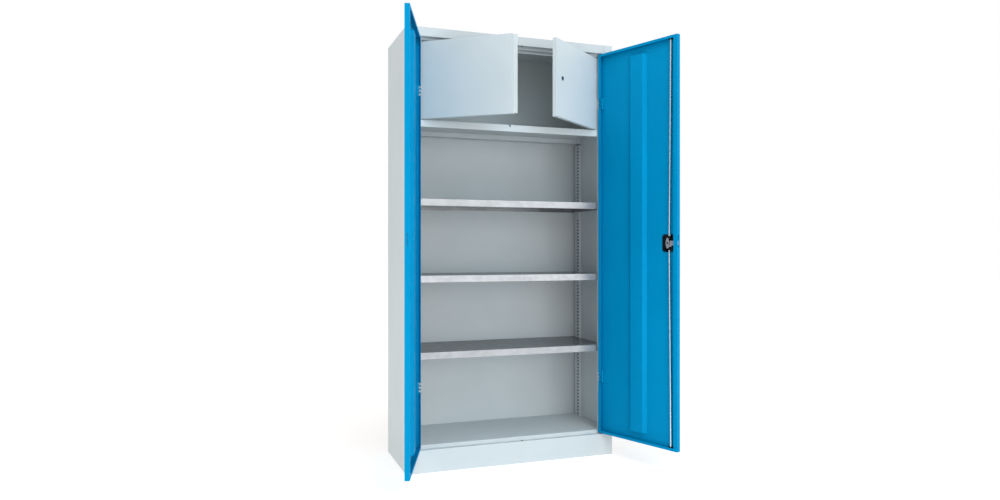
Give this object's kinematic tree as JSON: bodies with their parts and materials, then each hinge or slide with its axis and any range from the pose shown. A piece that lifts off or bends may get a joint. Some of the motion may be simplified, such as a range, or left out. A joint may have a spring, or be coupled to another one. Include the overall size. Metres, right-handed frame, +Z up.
{
  "type": "double door cabinet",
  "caption": "Sheet steel cupboard with two outer doors on a rod lock, a lockable upper compartment with its own doors, and shelves on slotted uprights.",
  "frame": {"origin": "middle of the front face's bottom edge, on the floor", "axes": "+X to the cabinet's right seen from the front, +Y to its back, +Z up; the doors open towards -Y"},
  "size_m": [1.2111, 0.8242, 1.95],
  "materials": {
    "grey_powder_coat": "light grey powder coat, satin",
    "blue_powder_coat": "light blue powder coat, satin",
    "galvanised_sheet": "galvanised, matt with a faint spangle",
    "zinc_plated_steel": "bright zinc plate",
    "black_plastic": "moulded, fine matt"
  },
  "bodies": {
    "cabinet": {"left_side_panel": "grey_powder_coat", "right_side_panel": "grey_powder_coat", "back_panel": "grey_powder_coat", "top_panel": "grey_powder_coat", "plinth_panel": "grey_powder_coat", "floor_panel": "grey_powder_coat", "compartment_partition": "grey_powder_coat", "partition_rear_rail": "grey_powder_coat", "left_front_upright": "grey_powder_coat", "left_rear_upright": "grey_powder_coat", "right_front_upright": "grey_powder_coat", "right_rear_upright": "grey_powder_coat", "upper_shelf": "galvanised_sheet", "middle_shelf": "galvanised_sheet", "lower_shelf": "galvanised_sheet", "shelf_clips": "zinc_plated_steel", "left_frame_hinges": "zinc_plated_steel", "right_frame_hinges": "zinc_plated_steel", "rod_keepers": "black_plastic"},
    "left_door": {"left_door_panel": "blue_powder_coat", "left_door_stiffener": "blue_powder_coat", "left_door_hinge_leaves": "zinc_plated_steel", "left_hinge_pins": "zinc_plated_steel"},
    "right_door": {"right_door_panel": "blue_powder_coat", "right_door_stiffener": "blue_powder_coat", "right_door_hinge_leaves": "zinc_plated_steel", "right_hinge_pins": "zinc_plated_steel", "lock_case": "black_plastic", "lock_cover": "zinc_plated_steel", "rod_guides": "black_plastic", "handle_escutcheon": "black_plastic"},
    "lock_handle": {"door_handle": "black_plastic", "lock_pinion": "zinc_plated_steel"},
    "key_cylinder": {"key_cylinder": "zinc_plated_steel"},
    "top_rod": {"top_rod": "zinc_plated_steel"},
    "bottom_rod": {"bottom_rod": "zinc_plated_steel"},
    "side_bolt": {"side_bolt": "zinc_plated_steel"},
    "left_inner_door": {"left_inner_door": "grey_powder_coat", "left_inner_pins": "zinc_plated_steel", "inner_bolt_guide": "zinc_plated_steel"},
    "inner_bolt": {"inner_bolt": "zinc_plated_steel"},
    "right_inner_door": {"right_inner_door": "grey_powder_coat", "right_inner_pins": "zinc_plated_steel", "right_inner_stud": "zinc_plated_steel", "inner_lock_body": "zinc_plated_steel"},
    "inner_lock": {"inner_lock_plug": "zinc_plated_steel", "inner_lock_cam": "zinc_plated_steel"}
  },
  "joints": [
    {"name": "left_door_hinge", "type": "hinge", "parent": "cabinet", "child": "left_door", "pos_m": [-0.451, 0.005, 1.0055], "axis": [0, 0, 1], "range_deg": [0, 109]},
    {"name": "right_door_hinge", "type": "hinge", "parent": "cabinet", "child": "right_door", "pos_m": [0.451, 0.005, 1.0055], "axis": [0, 0, -1], "range_deg": [0, 109.5]},
    {"name": "left_inner_hinge", "type": "hinge", "parent": "cabinet", "child": "left_inner_door", "pos_m": [-0.429, 0.031, 1.7215], "axis": [0, 0, 1], "range_deg": [0, 38]},
    {"name": "right_inner_hinge", "type": "hinge", "parent": "cabinet", "child": "right_inner_door", "pos_m": [0.429, 0.031, 1.7215], "axis": [0, 0, -1], "range_deg": [0, 39]},
    {"name": "handle_turn", "type": "hinge", "parent": "right_door", "child": "lock_handle", "pos_m": [0.58682, -0.36355, 1.0055], "axis": [-0.9426, -0.3338, 0], "range_deg": [0, 90]},
    {"name": "key_turn", "type": "hinge", "parent": "lock_handle", "child": "key_cylinder", "pos_m": [0.58682, -0.36355, 1.0055], "axis": [-0.9426, -0.3338, 0], "range_deg": [0, 90]},
    {"name": "top_rod_slide", "type": "slide", "parent": "right_door", "child": "top_rod", "axis": [0.0037, -0.0105, 0.9999], "range_m": [0, 0.0142]},
    {"name": "bottom_rod_slide", "type": "slide", "parent": "right_door", "child": "bottom_rod", "axis": [0.0037, -0.0105, -0.9999], "range_m": [0, 0.0142]},
    {"name": "side_bolt_slide", "type": "slide", "parent": "right_door", "child": "side_bolt", "axis": [0.3338, -0.9426, 0], "range_m": [0, 0.0142]},
    {"name": "inner_bolt_slide", "type": "slide", "parent": "left_inner_door", "child": "inner_bolt", "axis": [0, 0, -1], "range_m": [0, 0.01]},
    {"name": "inner_lock_turn", "type": "hinge", "parent": "right_inner_door", "child": "inner_lock", "pos_m": [0.14418, -0.19965, 1.7255], "axis": [-0.6293, 0.7771, 0], "range_deg": [0, 90]}
  ],
  "couplings": [
    {"joint": "left_inner_hinge", "follows": "left_door_hinge", "ratio": 0.34862},
    {"joint": "right_inner_hinge", "follows": "right_door_hinge", "ratio": 0.35616},
    {"joint": "top_rod_slide", "follows": "handle_turn", "m_per_rad": 0.009},
    {"joint": "bottom_rod_slide", "follows": "handle_turn", "m_per_rad": 0.009},
    {"joint": "side_bolt_slide", "follows": "handle_turn", "m_per_rad": 0.009}
  ]
}
